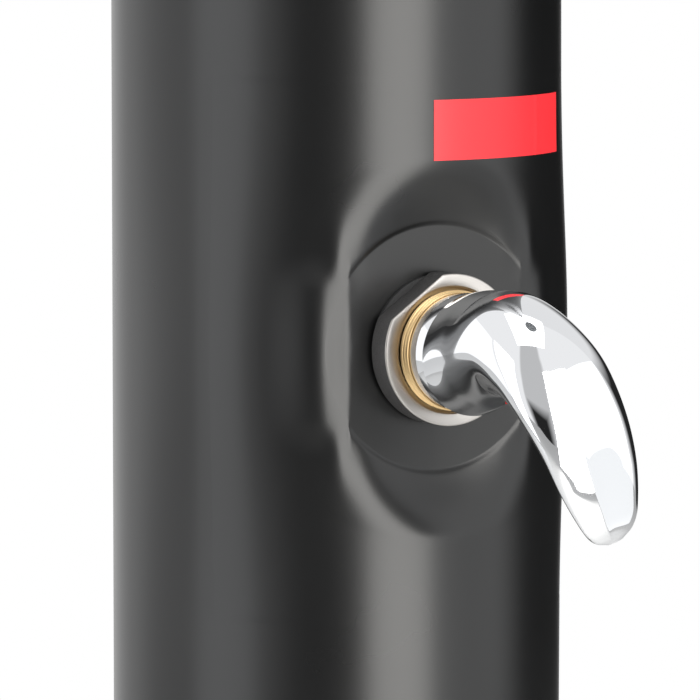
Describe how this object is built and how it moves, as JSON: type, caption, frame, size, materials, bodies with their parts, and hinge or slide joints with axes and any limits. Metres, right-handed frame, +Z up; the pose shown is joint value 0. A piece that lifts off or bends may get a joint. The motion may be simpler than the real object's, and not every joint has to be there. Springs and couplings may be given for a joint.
{
  "type": "outdoor shower post",
  "caption": "Black round solar tank post with a single lever mixer in a pressed flat seat, overhead arm and rain head, on a bolt-down foot",
  "frame": {"origin": "on the tank's axis at the foot's underside, the centre of the anchor bolt circle", "axes": "+Z up along the tank; -Y is the front, where the lever and the shower head are; +X is to the right seen from the front"},
  "size_m": [0.244, 0.46, 2.1172],
  "materials": {
    "tank_black": "semi-gloss extruded black",
    "foot_black": "fine moulded grain",
    "rubber_black": "matte",
    "fastener_steel": "plain",
    "nickel": "nickel plated, turned",
    "brass": "machined",
    "chrome": "polished",
    "acetal_white": "moulded",
    "ceramic": "ground",
    "hose_grey": "braided",
    "pipe_grey": "extruded",
    "index_red": "moulded",
    "spray_grey": "soft moulded"
  },
  "bodies": {
    "post": {"arm_elbow": "brass", "arm_inner_gasket": "rubber_black", "arm_locknut": "brass", "arm_outer_gasket": "rubber_black", "arm_outer_nut": "brass", "arm_rosette": "chrome", "backflow_valve": "rubber_black", "ball_nut": "chrome", "ball_seal": "rubber_black", "ball_socket": "chrome", "bottom_cap": "foot_black", "bottom_cap_seal": "rubber_black", "cartridge_housing": "acetal_white", "cartridge_nut": "nickel", "cold_hose": "hose_grey", "cold_tee": "brass", "drain_cap": "foot_black", "drain_fitting": "brass", "drain_inner_gasket": "rubber_black", "drain_locknut": "brass", "drain_outer_gasket": "rubber_black", "drain_seal": "rubber_black", "fixed_disc": "ceramic", "foot": "foot_black", "foot_screws": "fastener_steel", "hose_unions": "nickel", "hot_elbow": "brass", "hot_pipe": "pipe_grey", "inlet_fitting": "brass", "inlet_inner_gasket": "rubber_black", "inlet_locknut": "brass", "inlet_outer_gasket": "rubber_black", "mixed_hose": "hose_grey", "mixer_body": "brass", "mixer_inner_gasket": "rubber_black", "mixer_locknut": "nickel", "mixer_outer_gasket": "rubber_black", "overhead_arm": "chrome", "tank_tube": "tank_black", "top_cap": "tank_black", "top_cap_seal": "rubber_black", "trim_dome": "chrome"},
    "carrier": {"spindle_carrier": "acetal_white", "tilt_pin": "fastener_steel"},
    "lever": {"spindle": "brass", "lever_handle": "chrome", "handle_screw": "fastener_steel", "index_plug": "index_red"},
    "disc": {"moving_disc": "ceramic"},
    "ball": {"ball_piece": "chrome"},
    "head": {"head_shell": "chrome", "head_gasket": "rubber_black", "spray_plate": "spray_grey"}
  },
  "joints": [
    {"name": "lever_turn", "type": "hinge", "parent": "post", "child": "carrier", "pos_m": [0, -0.0899, 1.15], "axis": [0, -1, 0], "range_deg": [-70, 30]},
    {"name": "lever_lift", "type": "hinge", "parent": "carrier", "child": "lever", "pos_m": [0, -0.0899, 1.15], "axis": [-0.9397, 0, -0.342], "range_deg": [0, 20]},
    {"name": "disc_slide", "type": "slide", "parent": "carrier", "child": "disc", "axis": [0.342, 0, -0.9397], "range_m": [0, 0.0077]},
    {"name": "head_tilt", "type": "hinge", "parent": "post", "child": "ball", "pos_m": [0, -0.262, 1.9462], "axis": [1, 0, 0], "range_deg": [-20, 20]},
    {"name": "head_spin", "type": "hinge", "parent": "ball", "child": "head", "pos_m": [0, -0.262, 1.9462], "axis": [0, 0, -1], "continuous": true}
  ],
  "couplings": [
    {"joint": "disc_slide", "follows": "lever_lift", "m_per_rad": 0.0219}
  ]
}
